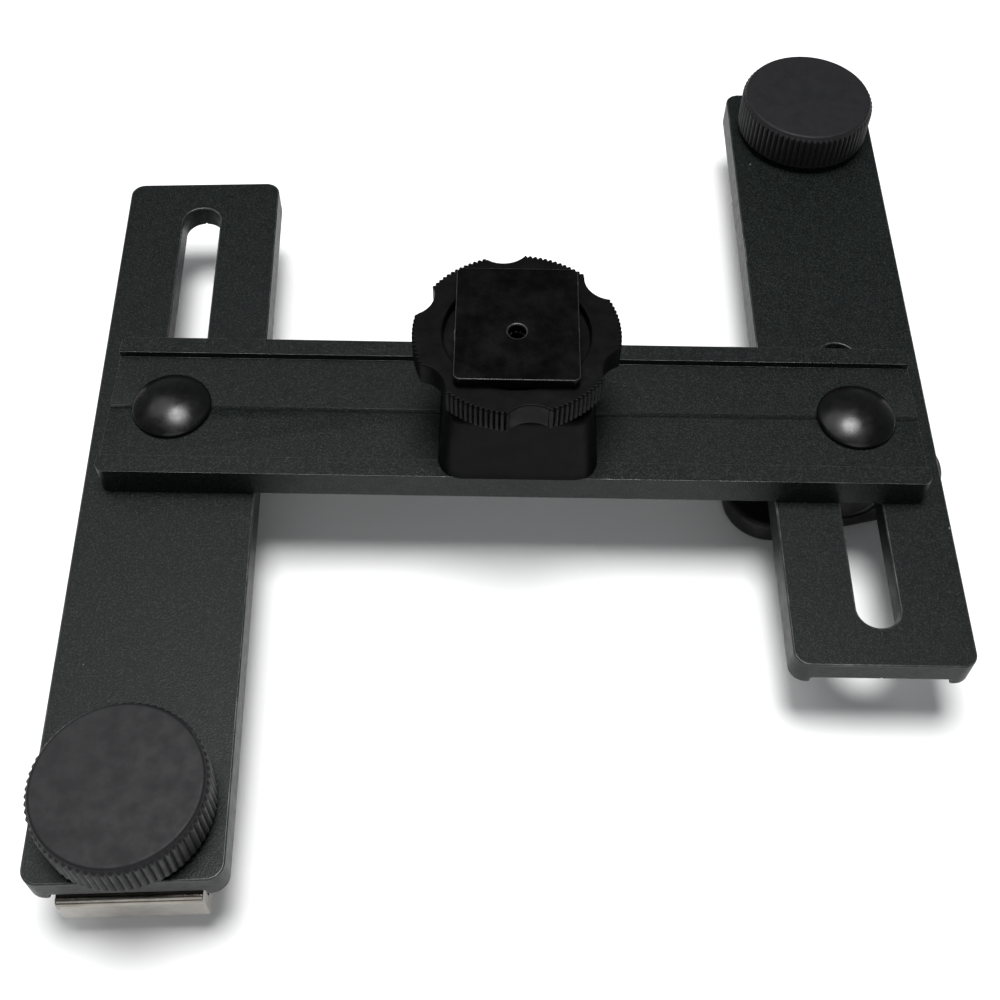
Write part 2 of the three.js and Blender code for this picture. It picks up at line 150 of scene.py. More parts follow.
def reach(node, direction):
    """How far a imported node's solid reaches along a direction: its lowest and highest value."""
    values = [v.co.dot(direction) for v in frame["nodes"][node].data.vertices]
    return min(values), max(values)


# ---------------------------------------------------------------- meshes


def mesh_object(name, vertices, faces, materials):
    mesh = bpy.data.meshes.new(name)
    mesh.from_pydata([tuple(v) for v in vertices], [], faces)
    mesh.validate()
    for material in materials:
        mesh.materials.append(material)
    for polygon in mesh.polygons:
        polygon.use_smooth = True
    piece = bpy.data.objects.new(name, mesh)
    bpy.context.scene.collection.objects.link(piece)
    return piece


def bake_modifiers(piece):
    """The piece's mesh becomes what its modifiers make of it."""
    depsgraph = bpy.context.evaluated_depsgraph_get()
    made = bpy.data.meshes.new_from_object(piece.evaluated_get(depsgraph))
    piece.modifiers.clear()
    piece.data = made
    return piece


def prism(outline, bottom, top):
    """Vertices and faces of a closed prism over an outline of (x, y) points, counter-clockwise."""
    n = len(outline)
    vertices = [(x, y, bottom) for x, y in outline] + [(x, y, top) for x, y in outline]
    faces = [tuple(reversed(range(n))), tuple(range(n, 2 * n))]
    faces += [(i, (i + 1) % n, n + (i + 1) % n, n + i) for i in range(n)]
    return vertices, faces


def rounded_rectangle(width, depth, radius, steps=8):
    points = []
    corners = ((1, -1, -90), (1, 1, 0), (-1, 1, 90), (-1, -1, 180))
    for sx, sy, start in corners:
        for i in range(steps + 1):
            angle = math.radians(start + 90 * i / steps)
            x = sx * (width / 2 - radius) + radius * math.cos(angle)
            y = sy * (depth / 2 - radius) + radius * math.sin(angle)
            points.append((x, y))
    return points


def circle(radius, steps=64, turn=0.0):
    angles = [turn + TAU * i / steps for i in range(steps)]
    return [(radius * math.cos(a), radius * math.sin(a)) for a in angles]


def solid(outline, bottom, top, place=Matrix.Identity(4)):
    vertices, faces = prism(outline, bottom, top)
    return mesh_object("tool", [place @ Vector(v) for v in vertices], faces, [])


def combine(piece, tool, operation):
    """Cuts the tool out of the piece, joins it on, or keeps what both share. The tool is used up."""
    modifier = piece.modifiers.new("combine", "BOOLEAN")
    modifier.operation = operation
    modifier.solver = "EXACT"
    modifier.object = tool
    bake_modifiers(piece)
    bpy.data.objects.remove(tool)


def round_edges(piece, width, segments=3, angle=35, edge_slot=None):
    """Rounds every sharp edge. The rounded faces can take a material slot of their own."""
    for polygon in piece.data.polygons:
        polygon.use_smooth = True
    modifier = piece.modifiers.new("round", "BEVEL")
    modifier.width = width
    modifier.segments = segments
    modifier.limit_method = "ANGLE"
    modifier.angle_limit = math.radians(angle)
    modifier.harden_normals = True
    modifier.use_clamp_overlap = True
    modifier.miter_outer = "MITER_ARC"
    if edge_slot is not None:
        modifier.material = edge_slot
    return bake_modifiers(piece)


def arc(centre, radius, start, end, steps):
    """Profile points (r, z) on an arc, angles in degrees."""
    points = []
    for i in range(steps + 1):
        angle = math.radians(start + (end - start) * i / steps)
        points.append((centre[0] + radius * math.cos(angle), centre[1] + radius * math.sin(angle)))
    return points


def held(points, margin=0.06 * MM):
    """The same profile with a point close to each end of its long stretches, so that flats shade flat."""
    result = [points[0]]
    for a, b in zip(points, points[1:]):
        length = math.dist(a, b)
        if length > 5 * margin:
            t = margin / length
            result.append((a[0] + (b[0] - a[0]) * t, a[1] + (b[1] - a[1]) * t))
            result.append((b[0] + (a[0] - b[0]) * t, b[1] + (a[1] - b[1]) * t))
        result.append(b)
    return result


def loft(name, profile, columns, materials, place, radius=None, closed=False):
    """A body round the Z axis. profile is a list of (r, z), from the axis to the axis unless it is closed.

    radius(r, z, angle) may change each point's distance from the axis.
    """
    vertices = []
    rings = []
    for r, z in profile:
        if r == 0 and not closed:
            rings.append([len(vertices)])
            vertices.append(place @ Vector((0, 0, z)))
            continue
        ring = []
        for i in range(columns):
            angle = TAU * i / columns
            distance = radius(r, z, angle) if radius else r
            ring.append(len(vertices))
            vertices.append(place @ Vector((distance * math.cos(angle), distance * math.sin(angle), z)))
        rings.append(ring)
    faces = []
    pairs = list(zip(range(len(rings)), range(1, len(rings))))
    if closed:
        pairs.append((len(rings) - 1, 0))
    for a, b in pairs:
        lower, upper = rings[a], rings[b]
        for i in range(columns):
            j = (i + 1) % columns
            if len(lower) == 1:
                faces.append((lower[0], upper[j], upper[i]))
            elif len(upper) == 1:
                faces.append((lower[i], lower[j], upper[0]))
            else:
                faces.append((lower[i], lower[j], upper[j], upper[i]))
    return mesh_object(name, vertices, faces, materials)


def place_at(centre, turn=0.0):
    return Matrix.Translation((centre.x, centre.y, 0)) @ Matrix.Rotation(turn, 4, "Z")


def finish_piece(piece, body, slot, *nodes):
    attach(piece, body)
    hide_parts(*nodes)
    return piece


# ---------------------------------------------------------------- materials


class Finish:
    """A material whose colour, roughness and bump come from patterns in the piece's own coordinates."""

    def __init__(self, name, metallic=0.0, specular=0.5):
        self.material = bpy.data.materials.new(name)
        self.material.use_nodes = True
        self.tree = self.material.node_tree
        self.shader = self.tree.nodes["Principled BSDF"]
        self.shader.inputs["Metallic"].default_value = metallic
        self.shader.inputs["Specular IOR Level"].default_value = specular
        self.place = self.tree.nodes.new("ShaderNodeTexCoord").outputs["Object"]

    def node(self, kind, **inputs):
        made = self.tree.nodes.new(kind)
        for key, value in inputs.items():
            socket = made.inputs[key.replace("_", " ")]
            if hasattr(value, "links"):
                self.tree.links.new(value, socket)
            else:
                socket.default_value = value
        return made

    def stretched(self, scale):
        mapping = self.node("ShaderNodeMapping", Vector=self.place)
        mapping.inputs["Scale"].default_value = scale
        return mapping.outputs["Vector"]

    def noise(self, scale, detail=3.0, roughness=0.55, stretch=None):
        vector = self.stretched(stretch) if stretch else self.place
        settings = {"Scale": scale, "Detail": detail, "Roughness": roughness}
        made = self.node("ShaderNodeTexNoise", Vector=vector, **settings)
        return made.outputs["Fac"]

    def ramp(self, value, *stops):
        made = self.node("ShaderNodeValToRGB", Fac=value)
        elements = made.color_ramp.elements
        while len(elements) < len(stops):
            elements.new(1.0)
        for element, (position, colour) in zip(elements, stops):
            element.position = position
            element.color = (*colour, 1.0)
        return made.outputs["Color"]

    def level(self, value, low, high, at=(0.35, 0.65)):
        """A grey value that runs from low to high as the pattern does."""
        return self.ramp(value, (at[0], (low,) * 3), (at[1], (high,) * 3))

    def spots(self, scale, threshold, softness=0.03):
        """Rare small marks: 1 in a mark and 0 elsewhere."""
        return self.level(self.noise(scale, 2.0), 0.0, 1.0, (threshold, threshold + softness))

    def over(self, factor, below, above):
        """One colour or pattern laid over another where the factor is high."""
        made = self.tree.nodes.new("ShaderNodeMix")
        made.data_type = "RGBA"
        self.tree.links.new(factor, made.inputs["Factor"])
        for value, socket in ((below, made.inputs["A"]), (above, made.inputs["B"])):
            if hasattr(value, "links"):
                self.tree.links.new(value, socket)
            else:
                socket.default_value = (*value, 1.0)
        return made.outputs["Result"]

    def bump(self, height, distance, strength=1.0, after=None):
        made = self.node("ShaderNodeBump", Height=height, Distance=distance, Strength=strength)
        if after:
            self.tree.links.new(after, made.inputs["Normal"])
        return made.outputs["Normal"]

    def done(self, colour, roughness, normal):
        """Joins the patterns to the shader, and gives the material."""
        for value, name in ((colour, "Base Color"), (roughness, "Roughness"), (normal, "Normal")):
            self.tree.links.new(value, self.shader.inputs[name])
        return self.material


def scaled(colour, gain):
    return tuple(gain * c for c in colour)


def anodised():
    """Bead-blasted black anodising: a fine sparkle, faint clouds and a few pale nicks."""
    f = Finish("anodised_bar", specular=0.175)
    clouds = f.ramp(f.noise(30, 3), (0.3, (0.0018, 0.0030, 0.0027)), (0.7, (0.0028, 0.0044, 0.0040)))
    grain = f.ramp(f.noise(4200, 2), (0.45, (0.0, 0.0002, 0.0001)), (0.66, (0.021, 0.028, 0.026)))
    colour = f.over(f.level(f.noise(1900, 2), 0.2, 0.9), clouds, grain)
    colour = f.over(f.spots(420, 0.79, 0.015), colour, (0.16, 0.17, 0.16))
    roughness = f.level(f.noise(600, 3), 0.4, 0.47)
    return f.done(colour, roughness, f.bump(f.noise(4200, 2), 0.05 * MM, 0.9))


def anodised_edge_with_highlight(name, gain):
    """The same anodising on an edge, rubbed back to bare metal in places, and paler all along as a painted
    highlight line. gain sets how bright the painted highlight is.
    """
    f = Finish(name, metallic=0.5, specular=0.4)
    dark = scaled((0.06, 0.068, 0.066), gain)
    pale = scaled((0.12, 0.13, 0.127), gain)
    bare = scaled((0.26, 0.27, 0.27), gain)
    rubbed = f.level(f.noise(200, 4, 0.6), 0.0, 1.0, (0.5, 0.72))
    base = f.ramp(f.noise(1200, 2), (0.3, dark), (0.7, pale))
    colour = f.over(rubbed, base, bare)
    colour = f.over(f.spots(500, 0.775, 0.02), colour, (0.5, 0.5, 0.49))
    roughness = f.level(f.noise(800, 2), 0.28, 0.42)
    return f.done(colour, roughness, f.bump(f.noise(1500, 3), 0.03 * MM, 0.6))


def moulded(name, dark, light, roughness, specular, bump, scuffs=0.0):
    """Black moulded plastic: cloudy, finely grained, and rubbed paler where it is scuffed."""
    f = Finish(name, specular=specular)
    colour = f.ramp(f.noise(170, 5, 0.65), (0.3, dark), (0.72, light))
    grain = f.noise(1900, 3, 0.6)
    colour = f.over(f.level(grain, 0.0, 0.35), colour, scaled(light, 1.3))
    if scuffs:
        blotches = f.level(f.noise(75, 5, 0.7), 0.0, 0.8, (0.58, 0.74))
        colour = f.over(blotches, colour, scaled(light, 3.0))
        colour = f.over(f.spots(330, 0.78 - scuffs, 0.04), colour, scaled(light, 3.2))
    rough = f.level(f.noise(420, 4), roughness - 0.07, roughness + 0.07)
    fine = f.bump(grain, bump, 0.6)
    return f.done(colour, rough, f.bump(f.noise(120, 3), 0.05 * MM, 0.25, fine))


def enamel(name, dark, light, roughness, specular, scratched=False):
    """Black enamel on metal, with orange peel; a scratched one has hairlines and pale specks."""
    f = Finish(name, specular=specular)
    colour = f.ramp(f.noise(120, 4, 0.6), (0.3, dark), (0.7, light))
    rough = f.level(f.noise(500, 3), roughness - 0.05, roughness + 0.06)
    if scratched:
        hairs = f.noise(90, 5, 0.7, stretch=(26, 1.4, 1))
        colour = f.over(f.level(hairs, 0.0, 0.55, (0.62, 0.74)), colour, scaled(light, 3.5))
        colour = f.over(f.spots(520, 0.775, 0.02), colour, (0.16, 0.16, 0.155))
        rough = f.level(f.noise(240, 5, 0.7), roughness - 0.05, roughness + 0.2)
    peel = f.bump(f.noise(700, 3), 0.012 * MM, 0.5)
    return f.done(colour, rough, peel)


def worn_edge_with_highlight(name, base, bare, amount):
    """A painted edge, paler all along as a painted highlight line, with the paint worn thinner to a paler
    metal in places.
    """
    f = Finish(name, metallic=0.2, specular=0.5)
    worn = f.level(f.noise(300, 4, 0.6), 0.0, 1.0, (0.64 - amount, 0.74 - amount))
    colour = f.over(worn, base, bare)
    rough = f.level(f.noise(700, 2), 0.3, 0.45)
    return f.done(colour, rough, f.bump(f.noise(1400, 3), 0.02 * MM, 0.5))


def plated(name, dark, light, roughness, grain, pits=0.0):
    """Plated or turned metal: faint clouds, fine polishing marks and, where it is old, pits."""
    f = Finish(name, metallic=1.0, specular=0.5)
    colour = f.ramp(f.noise(210, 4, 0.6), (0.3, dark), (0.7, light))
    if pits:
        colour = f.over(f.spots(700, 0.76 - pits, 0.03), colour, (0.16, 0.13, 0.1))
    rough = f.level(f.noise(900, 3), roughness - 0.04, roughness + 0.07)
    marks = f.noise(1500, 2, 0.5, stretch=(1, 1, 9))
    return f.done(colour, rough, f.bump(marks, grain, 0.5))


ANODISED = anodised()
# The rounded edges of the bars are paler than the anodising as a painted highlight, brighter on the rail
# than on the arms; the bare rubbed patches and pale nicks are real wear.
RAIL_EDGE_HIGHLIGHT = anodised_edge_with_highlight("rail_edge_wear_and_highlight", 1.5)
ARM_EDGE_HIGHLIGHT = anodised_edge_with_highlight("arm_edge_wear_and_highlight", 0.4)
KNOB_PLASTIC = moulded(
    "knob_plastic", dark=(0.0075, 0.0075, 0.0085), light=(0.0095, 0.0095, 0.0106),
    roughness=0.55, specular=0.2, bump=0.02 * MM,
)
WHEEL_PLASTIC = moulded(
    "wheel_plastic", dark=(0.0014, 0.0014, 0.0015), light=(0.0024, 0.0024, 0.0026),
    roughness=0.42, specular=0.07, bump=0.015 * MM, scuffs=0.02,
)
CLAMP_PLASTIC = moulded(
    "clamp_plastic", dark=(0.004, 0.004, 0.004), light=(0.008, 0.008, 0.008),
    roughness=0.45, specular=0.2, bump=0.03 * MM, scuffs=0.02,
)
SPACER_PLASTIC = moulded(
    "spacer_plastic", dark=(0.012, 0.012, 0.012), light=(0.02, 0.02, 0.02),
    roughness=0.5, specular=0.3, bump=0.03 * MM,
)
PEDESTAL_BLACK = enamel(
    "pedestal_black", dark=(0.002, 0.002, 0.0021), light=(0.0034, 0.0034, 0.0036),
    roughness=0.45, specular=0.05,
)
FOOT_BLACK = enamel(
    "foot_black", dark=(0.0008, 0.0008, 0.0009), light=(0.0018, 0.0018, 0.0019),
    roughness=0.28, specular=0.07, scratched=True,
)
# The foot's rounded edges and the ring round its hole are paler than the enamel as a painted highlight; the
# worn patches are real wear.
FOOT_EDGE = worn_edge_with_highlight("foot_edge_wear_and_highlight", base=(0.016, 0.016, 0.0165), bare=(0.1, 0.1, 0.1), amount=0.06)
BOLT_BLACK = enamel(
    "bolt_black", dark=(0.001, 0.001, 0.0011), light=(0.002, 0.002, 0.0022),
    roughness=0.29, specular=0.34,
)
SHOE_CHROME = plated(
    "shoe_chrome", dark=(0.2, 0.185, 0.16), light=(0.32, 0.3, 0.27),
    roughness=0.16, grain=0.008 * MM, pits=0.02,
)
ZINC = plated(
    "zinc_steel", dark=(0.45, 0.46, 0.47), light=(0.6, 0.61, 0.62),
    roughness=0.34, grain=0.015 * MM, pits=0.01,
)
BRASS = plated(
    "insert_brass", dark=(0.5, 0.37, 0.14), light=(0.65, 0.49, 0.2),
    roughness=0.3, grain=0.012 * MM,
)
SMALL_PART_MATERIALS = {"zinc_steel": ZINC, "insert_brass": BRASS, "spacer_plastic": SPACER_PLASTIC}


# ---------------------------------------------------------------- the extruded bars


def bar_section(width, bottom, top, floor):
    """The bar's section as (x, z): the lips stand from the floor to the side opposite the smooth face."""
    half = width / 2
    inner = half - LIP
    smooth, lips = (bottom, top) if floor > (bottom + top) / 2 else (top, bottom)
    return [
        (-half, smooth), (half, smooth), (half, lips), (inner, lips),
        (inner, floor), (-inner, floor), (-inner, lips), (-half, lips),
    ]


def swept(section, ends, place):
    """Vertices and faces of a section of (x, z) points swept along the place's Y axis."""
    vertices, faces = prism(section, *ends)
    return [place @ Vector((x, y, z)) for x, z, y in vertices], faces


def groove_tool(ends, place, floor, side):
    """What cuts the V-groove along the channel's floor. side is 1 where the lips stand up."""
    over = 0.05 * MM
    rise = over * GROOVE_DEPTH / (GROOVE_WIDTH / 2)
    half = GROOVE_WIDTH / 2 + over
    section = [(-half, floor + side * rise), (0, floor - side * GROOVE_DEPTH), (half, floor + side * rise)]
    return outward(mesh_object("groove", *swept(section, (ends[0] - PAST, ends[1] + PAST), place), []))


def outward(piece):
    """Turns a closed mesh's faces so that they all point out."""
    edit = bmesh.new()
    edit.from_mesh(piece.data)
    bmesh.ops.recalc_face_normals(edit, faces=edit.faces)
    edit.to_mesh(piece.data)
    edit.free()
    return piece


def shade_flats(piece):
    """Flat faces shade flat up to their rounded edges, and real corners stay sharp."""
    piece.data.set_sharp_from_angle(angle=math.radians(40))
    modifier = piece.modifiers.new("normals", "WEIGHTED_NORMAL")
    modifier.keep_sharp = True
    modifier.weight = 100
    return bake_modifiers(piece)


def bar(name, place, ends, width, heights, floor, corner, cuts, edge):
    """A length of the bar along the place's Y axis, with holes cut and its edges rounded."""
    section = bar_section(width, *heights, floor)
    piece = outward(mesh_object(name, *swept(section, ends, place), [ANODISED, edge]))
    centre = Matrix.Translation((0, sum(ends) / 2, 0))
    # The plan is a hair larger than the bar, so that it rounds the corners and touches no face.
    plan = rounded_rectangle(width + 0.02 * MM, ends[1] - ends[0] + 0.002 * MM, corner)
    combine(piece, solid(plan, heights[0] - PAST, heights[1] + PAST, place @ centre), "INTERSECT")
    for tool in cuts:
        combine(piece, tool, "DIFFERENCE")
    # The rounded faces take the edge material, which is paler as a painted highlight.
    round_edges(piece, BAR_EDGE, edge_slot=1)
    side = 1 if floor > sum(heights) / 2 else -1
    combine(piece, groove_tool(ends, place, floor, side), "DIFFERENCE")
    return shade_flats(piece)


def make_rail():
    low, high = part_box("rail")
    centre = middle("rail")
    heights = (low.z, high.z)
    neck = BOLT_NECK + 2 * RUNNING_GAP
    cuts = []
    for side in SIDES:
        square = rounded_rectangle(neck, neck, 0.3 * MM, 3)
        cuts.append(solid(square, low.z - PAST, high.z, place_at(middle(f"{side}_bolt"))))
        cuts.append(sink_for(f"{side}_pedestal_screw"))
    ends = (low.x - centre.x, high.x - centre.x)
    place = place_at(centre, math.pi / 2)
    floor = low.z + WEB
    width = high.y - low.y
    piece = bar("rail_bar", place, ends, width, heights, floor, RAIL_CORNER, cuts, RAIL_EDGE_HIGHLIGHT)
    finish_piece(piece, "rail", "anodised_bar", "rail")


def sink_for(node):
    """The countersunk hole that a pedestal screw stands in."""
    low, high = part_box(node)
    head = (high.x - low.x) / 2 + RUNNING_GAP
    shank = BLOCK_SCREW_RADIUS + RUNNING_GAP
    cone_top = low.z + 1.7 * MM
    top = low.z + 8 * MM
    start = low.z - PAST
    profile = [(0, start), (head, start), (head, low.z), (shank, cone_top), (shank, top), (0, top)]
    return outward(loft("sink", profile, 32, [], place_at(middle(node))))


def arm_place(side):
    """The arm's own frame: its origin on the bolt's axis and +Y along the arm."""
    x, y, _ = joint(f"{side}_arm_slide")["axis"]
    return place_at(middle(f"{side}_bolt"), math.atan2(-x, y))


def make_arm(side):
    node = f"{side}_arm"
    place = arm_place(side)
    along = place.to_3x3() @ Vector((0, 1, 0))
    across = place.to_3x3() @ Vector((1, 0, 0))
    start = place.translation.dot(along)
    near, far = (value - start for value in reach(node, along))
    left, right = reach(node, across)
    low, high = bottom_of(node), top_of(node)
    end = far if SLOT_SIDE[side] > 0 else near
    shift = Matrix.Translation((0, end - SLOT_SIDE[side] * (SLOT_FROM_END + SLOT_LENGTH / 2), 0))
    slot = rounded_rectangle(SLOT_WIDTH, SLOT_LENGTH, SLOT_WIDTH / 2 - 0.01 * MM, 16)
    hole = circle(SCREW_RADIUS + RUNNING_GAP, 40)
    knob = place_at(middle(f"{side}_knob_washer"))
    cuts = [
        solid(slot, low - PAST, high + PAST, place @ shift),
        solid(hole, low - PAST, high + PAST, knob),
    ]
    heights = (low, high)
    floor = high - WEB
    width = right - left
    name = f"{side}_arm_bar"
    piece = bar(name, place, (near, far), width, heights, floor, ARM_CORNER, cuts, ARM_EDGE_HIGHLIGHT)
    finish_piece(piece, node, "anodised_bar", node)


# ---------------------------------------------------------------- screws, rings and plates


def threaded(start, end, pitch):
    """A radius function: a right-hand screw thread between two heights, fading over its ends."""
    depth = 0.58 * pitch

    def radius(r, z, angle):
        if not start < z < end:
            return r
        phase = (z / pitch - angle / TAU) % 1.0
        flank = abs(2 * phase - 1)
        fade = min(1.0, (z - start) / pitch, (end - z) / pitch)
        return r - depth * fade * min(1.0, 1.15 * flank)

    return radius


def thread_rows(radius, start, end, pitch):
    """Profile points close enough for a thread to show between two heights."""
    rows_per_turn = 8
    steps = max(2, round((end - start) / pitch * rows_per_turn))
    return [(radius, start + (end - start) * i / steps) for i in range(steps + 1)]


def ring(name, node, body, slot, inner):
    """A washer, bush or nut: a ring with chamfered edges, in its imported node's place."""
    low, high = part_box(node)
    outer = (high.x - low.x) / 2
    c = min(0.2 * MM, (high.z - low.z) / 4)
    profile = [
        (inner + c, low.z), (outer - c, low.z), (outer, low.z + c), (outer, high.z - c), (outer - c, high.z),
        (inner + c, high.z), (inner, high.z - c), (inner, low.z + c), (inner + c, low.z),
    ]
    rows = held(profile)[:-1]
    materials = [SMALL_PART_MATERIALS[slot]]
    piece = outward(loft(name, rows, 72, materials, place_at(middle(node)), closed=True))
    return finish_piece(piece, body, slot, node)


def plate(name, node, body, slot, place, hole):
    """A flat plate between an arm's lips, with a round hole and rounded edges."""
    along = place.to_3x3() @ Vector((0, 1, 0))
    across = place.to_3x3() @ Vector((1, 0, 0))
    near, far = reach(node, along)
    left, right = reach(node, across)
    low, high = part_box(node)
    centre = place_at(middle(node), math.atan2(-along.x, along.y))
    outline = rounded_rectangle(right - left, far - near, 0.6 * MM, 4)
    materials = [SMALL_PART_MATERIALS[slot]]
    piece = outward(mesh_object(name, *placed_prism(outline, low.z, high.z, centre), materials))
    combine(piece, solid(circle(hole, 48), low.z - PAST, high.z + PAST, centre), "DIFFERENCE")
    round_edges(piece, 0.15 * MM, 2)
    return finish_piece(shade_flats(piece), body, slot, node)


def placed_prism(outline, bottom, top, place):
    vertices, faces = prism(outline, bottom, top)
    return [place @ Vector(v) for v in vertices], faces


# ---------------------------------------------------------------- camera foot


def pedestal_rows(low, high, foot):
    """The block's sections from its tongue up, as (height, width, depth, corner radius)."""
    width, depth = high.x - low.x, high.y - low.y
    rail_low, rail_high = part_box("rail")
    channel = rail_high.y - rail_low.y - 2 * LIP - 2 * RUNNING_GAP
    tongue = (width - 2 * MM, channel, 1 * MM)
    edge = PEDESTAL_FOOT_EDGE
    rows = [(low.z, *tongue), (foot, *tongue), (foot, width - edge, depth - 4 * edge, 3.8 * MM)]
    rise = high.z - PEDESTAL_TOP_EDGE - foot - edge
    steps = 22
    for i in range(steps + 1):
        t = i / steps
        scale = 1 - PEDESTAL_DRAW_IN * math.sqrt(t) * (0.4 + 0.6 * math.sqrt(t))
        rows.append((foot + edge + rise * t, width * scale, depth * scale, (4.0 - 0.6 * t) * MM))
    last_z, last_width, last_depth, last_corner = rows[-1]
    for i in range(1, 6):
        angle = math.radians(90 * i / 5)
        inset = 2 * PEDESTAL_TOP_EDGE * (1 - math.cos(angle))
        z = last_z + PEDESTAL_TOP_EDGE * math.sin(angle)
        rows.append((z, last_width - inset, last_depth - inset, last_corner - inset / 2))
    return rows


def make_pedestal():
    node = "pedestal"
    low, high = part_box(node)
    place = place_at(middle(node))
    rows = pedestal_rows(low, high, top_of("rail") + SEAT_GAP)
    vertices = []
    for z, width, depth, corner in rows:
        vertices += [place @ Vector((x, y, z)) for x, y in rounded_rectangle(width, depth, corner, 10)]
    n = len(vertices) // len(rows)
    last = n * (len(rows) - 1)
    faces = [tuple(reversed(range(n))), tuple(range(last, last + n))]
    for start in range(0, last, n):
        pairs = [(start + i, start + (i + 1) % n) for i in range(n)]
        faces += [(a, b, b + n, a + n) for a, b in pairs]
    piece = outward(mesh_object("pedestal_block", vertices, faces, [PEDESTAL_BLACK]))
    stem = circle(STEM_RADIUS + SEAT_GAP, 56)
    post = place_at(middle("foot_stem"))
    combine(piece, solid(stem, bottom_of("foot_stem") - SEAT_GAP, high.z + PAST, post), "DIFFERENCE")
    for side in SIDES:
        screw = place_at(middle(f"{side}_pedestal_screw"))
        hole = circle(BLOCK_SCREW_RADIUS + SEAT_GAP, 24)
        combine(piece, solid(hole, low.z - PAST, low.z + 5 * MM, screw), "DIFFERENCE")
    finish_piece(shade_flats(piece), "rail", "pedestal_black", node)


def make_stem():
    """The threaded post, with a neck on the pedestal, a flat along one side and a hole in its top whose
    walls are painted black as shade.
    """
    node = "foot_stem"
    low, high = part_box(node)
    shoulder = top_of("pedestal") + SEAT_GAP
    neck = shoulder + STEM_NECK_HEIGHT
    edge = 0.12 * MM
    thread = threaded(neck + 0.6 * MM, high.z + STEM_PITCH, STEM_PITCH)

    def section(r, z, angle):
        r = thread(r, z, angle)
        if z > neck and math.cos(angle) > 0:
            r = min(r, STEM_FLAT / math.cos(angle))
        return r

    profile = [(0, low.z), (STEM_RADIUS - edge, low.z), (STEM_RADIUS, low.z + edge), (STEM_RADIUS, shoulder)]
    profile += [(STEM_NECK_RADIUS - edge, shoulder), (STEM_NECK_RADIUS, shoulder + edge)]
    profile += [(STEM_NECK_RADIUS, neck - edge), (STEM_NECK_RADIUS - edge, neck), (STEM_RADIUS, neck)]
    profile += thread_rows(STEM_RADIUS, neck + 0.1 * MM, high.z, STEM_PITCH)
    profile.append((0, high.z))
    place = place_at(middle(node))
    piece = outward(loft("foot_post", profile, 96, [ZINC, FOOT_BLACK], place, section))
    hole = place @ Matrix.Translation((0, FOOT_HOLE_Y, 0))
    drill = solid(circle(FOOT_HOLE, 40), high.z - FOOT_HOLE_DEPTH, high.z + PAST, hole)
    combine(piece, drill, "DIFFERENCE")
    # The hole's walls and floor take the foot's black enamel as painted shade.
    paint_hole_shade(piece, hole.translation, high.z)
    finish_piece(shade_flats(piece), "rail", "zinc_steel", node)


def paint_hole_shade(piece, axis, top):
    """The faces inside the foot's hole take the piece's second material, black enamel as painted shade in
    the hole.
    """
    margin = 0.01 * MM
    for polygon in piece.data.polygons:
        x, y, z = polygon.center
        if math.dist((x, y), (axis.x, axis.y)) < FOOT_HOLE + margin and z < top - margin:
            polygon.material_index = 1


def scallop_outline(rim, angle):
    """How far the wheel's rim is from its axis: the rim, or a scallop's hollow where one cuts it."""
    step = TAU / SCALLOPS
    turn = (angle - SCALLOP_TURN + step / 2) % step - step / 2
    sideways = SCALLOP_FROM_AXIS * math.sin(turn)
    if abs(sideways) >= SCALLOP_RADIUS:
        return rim
    hollow = SCALLOP_FROM_AXIS * math.cos(turn) - math.sqrt(SCALLOP_RADIUS**2 - sideways**2)
    return min(rim, hollow)


def make_wheel():
    node = "lock_wheel"
    low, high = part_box(node)
    outer = (high.x - low.x) / 2
    recess = WHEEL_RECESS_RADIUS
    floor = high.z - WHEEL_RECESS_DEPTH
    bore = STEM_RADIUS + RUNNING_GAP
    edge = 0.3 * MM
    lip = 0.35 * MM

    def section(r, z, angle):
        if r <= recess:
            return r
        strength = min(1.0, max(0.0, 1.4 * (z - low.z) / edge))
        ridge = 1 - abs(math.sin(WHEEL_RIDGES * angle / 2))
        outline = scallop_outline(outer - WHEEL_RIDGE_DEPTH * strength * ridge, angle)
        return recess + (outline - recess) * (r - recess) / (outer - recess)

    profile = [(bore, low.z), (recess, low.z)]
    profile += arc((outer - edge, low.z + edge), edge, -90, 0, 5)
    profile += [(outer, low.z + edge + (high.z - low.z - 2 * edge) * k / 4) for k in (1, 2, 3)]
    profile += arc((outer - edge, high.z - edge), edge, 0, 90, 6)
    profile += [(recess + 2.6 * MM, high.z), (recess + 1.2 * MM, high.z)]
    profile += arc((recess + lip, high.z - lip), lip, 90, 180, 4)
    profile += [(recess, floor + 0.1 * MM), (recess - 0.1 * MM, floor), (bore + 0.3 * MM, floor)]
    profile += [(bore, floor - 0.3 * MM), (bore, low.z)]
    rows = held(profile)[:-1]
    columns = WHEEL_RIDGES * 8
    place = place_at(middle(node))
    piece = outward(loft("knurled_wheel", rows, columns, [WHEEL_PLASTIC], place, section, closed=True))
    finish_piece(shade_flats(piece), "lock_wheel", "wheel_plastic", node)


def make_foot():
    """The plate that slides into a camera's shoe, with a countersunk hole in front of its middle."""
    node = "hot_shoe_foot"
    low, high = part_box(node)
    place = place_at(middle(node))
    outline = rounded_rectangle(high.x - low.x, high.y - low.y, 1 * MM, 6)
    materials = [FOOT_BLACK, FOOT_EDGE]
    piece = outward(mesh_object("foot_plate", *placed_prism(outline, low.z, high.z, place), materials))
    sink = 0.15 * MM
    over = 0.1 * MM
    profile = [
        (0, low.z - PAST), (FOOT_HOLE, low.z - PAST), (FOOT_HOLE, high.z - sink),
        (FOOT_HOLE + sink + over, high.z + over), (0, high.z + over),
    ]
    hole = place @ Matrix.Translation((0, FOOT_HOLE_Y, 0))
    combine(piece, outward(loft("sink", profile, 48, [], hole)), "DIFFERENCE")
    # The rounded edges take the second material, which is paler as a painted highlight.
    round_edges(piece, 0.2 * MM, 3, 30, 1)
    finish_piece(shade_flats(piece), "rail", "foot_black", node)


